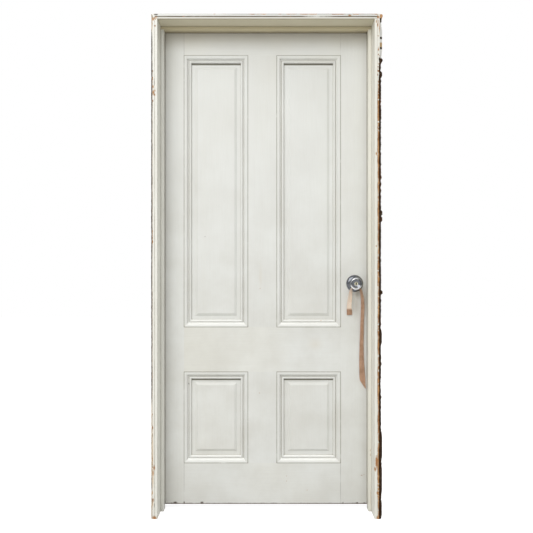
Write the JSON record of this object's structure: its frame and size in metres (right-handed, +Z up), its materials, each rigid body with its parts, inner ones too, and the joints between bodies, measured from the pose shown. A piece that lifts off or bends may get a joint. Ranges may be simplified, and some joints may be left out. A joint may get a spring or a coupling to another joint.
{
  "type": "panelled interior door with its frame",
  "caption": "Old painted four-panel interior door hung in its jamb frame, with planted mouldings, butt hinges, a keyed knob set and a strip of cloth over the knob.",
  "frame": {"origin": "middle of the bounding box at floor level: the jambs' feet are at Z = 0", "axes": "+X to the right and +Z up, seen from the side that shows the stops; +Y towards the side that the leaf opens to"},
  "size_m": [0.925, 0.194, 2.02],
  "materials": {
    "painted_wood": "old off-white paint, chipped at the edges",
    "rough_wood": "rough-sawn, dark and unpainted",
    "chrome": "polished",
    "steel": "plain",
    "brass": "dull",
    "hinge_metal": "painted over with the frame, rubbed at the knuckles",
    "cloth": "tan, limp, frayed at its ends"
  },
  "bodies": {
    "frame": {"left_jamb": "painted_wood", "right_jamb": "painted_wood", "head_jamb": "painted_wood", "left_stop": "painted_wood", "right_stop": "painted_wood", "head_stop": "painted_wood", "left_packing": "rough_wood", "right_packing": "rough_wood", "strike_plate": "chrome", "strike_screws": "steel", "upper_hinge_frame_leaf": "hinge_metal", "lower_hinge_frame_leaf": "hinge_metal", "upper_hinge_pin": "hinge_metal", "lower_hinge_pin": "hinge_metal", "frame_hinge_screws": "hinge_metal"},
    "leaf": {"hinge_stile": "painted_wood", "lock_stile": "painted_wood", "top_rail": "painted_wood", "lock_rail": "painted_wood", "bottom_rail": "painted_wood", "upper_muntin": "painted_wood", "lower_muntin": "painted_wood", "lock_body": "steel", "latch_case": "chrome", "latch_screws": "steel", "front_rose": "chrome", "rear_rose": "chrome", "tie_strip": "cloth", "door_hinge_screws": "hinge_metal", "upper_hinge_door_leaf": "hinge_metal", "upper_left_panel": "painted_wood", "upper_left_front_moulding": "painted_wood", "upper_left_rear_moulding": "painted_wood", "upper_right_panel": "painted_wood", "upper_right_front_moulding": "painted_wood", "upper_right_rear_moulding": "painted_wood", "lower_hinge_door_leaf": "hinge_metal", "lower_left_panel": "painted_wood", "lower_left_front_moulding": "painted_wood", "lower_left_rear_moulding": "painted_wood", "lower_right_panel": "painted_wood", "lower_right_front_moulding": "painted_wood", "lower_right_rear_moulding": "painted_wood"},
    "front_knob": {"front_knob": "chrome"},
    "key_plug": {"key_plug": "brass"},
    "rear_knob": {"rear_knob": "chrome"},
    "turn_button": {"turn_button": "chrome"},
    "latch_bolt": {"latch_bolt": "chrome"}
  },
  "joints": [
    {"name": "door_swing", "type": "hinge", "parent": "frame", "child": "leaf", "pos_m": [-0.437, 0.057, 1], "axis": [0, 0, 1], "range_deg": [0, 170]},
    {"name": "front_knob_turn", "type": "hinge", "parent": "leaf", "child": "front_knob", "pos_m": [0.3675, 0.014, 0.939], "axis": [0, -1, 0], "range_deg": [-60, 60], "stiffness_Nm_per_rad": 0.4},
    {"name": "key_turn", "type": "hinge", "parent": "front_knob", "child": "key_plug", "pos_m": [0.3675, 0.014, 0.939], "axis": [0, -1, 0], "range_deg": [-90, 90]},
    {"name": "rear_knob_turn", "type": "hinge", "parent": "leaf", "child": "rear_knob", "pos_m": [0.3675, 0.049, 0.939], "axis": [0, 1, 0], "range_deg": [-60, 60], "stiffness_Nm_per_rad": 0.4},
    {"name": "button_turn", "type": "hinge", "parent": "rear_knob", "child": "turn_button", "pos_m": [0.3675, 0.049, 0.939], "axis": [0, 1, 0], "range_deg": [0, 90]},
    {"name": "latch_throw", "type": "slide", "parent": "leaf", "child": "latch_bolt", "axis": [1, 0, 0], "range_m": [0, 0.011]}
  ]
}
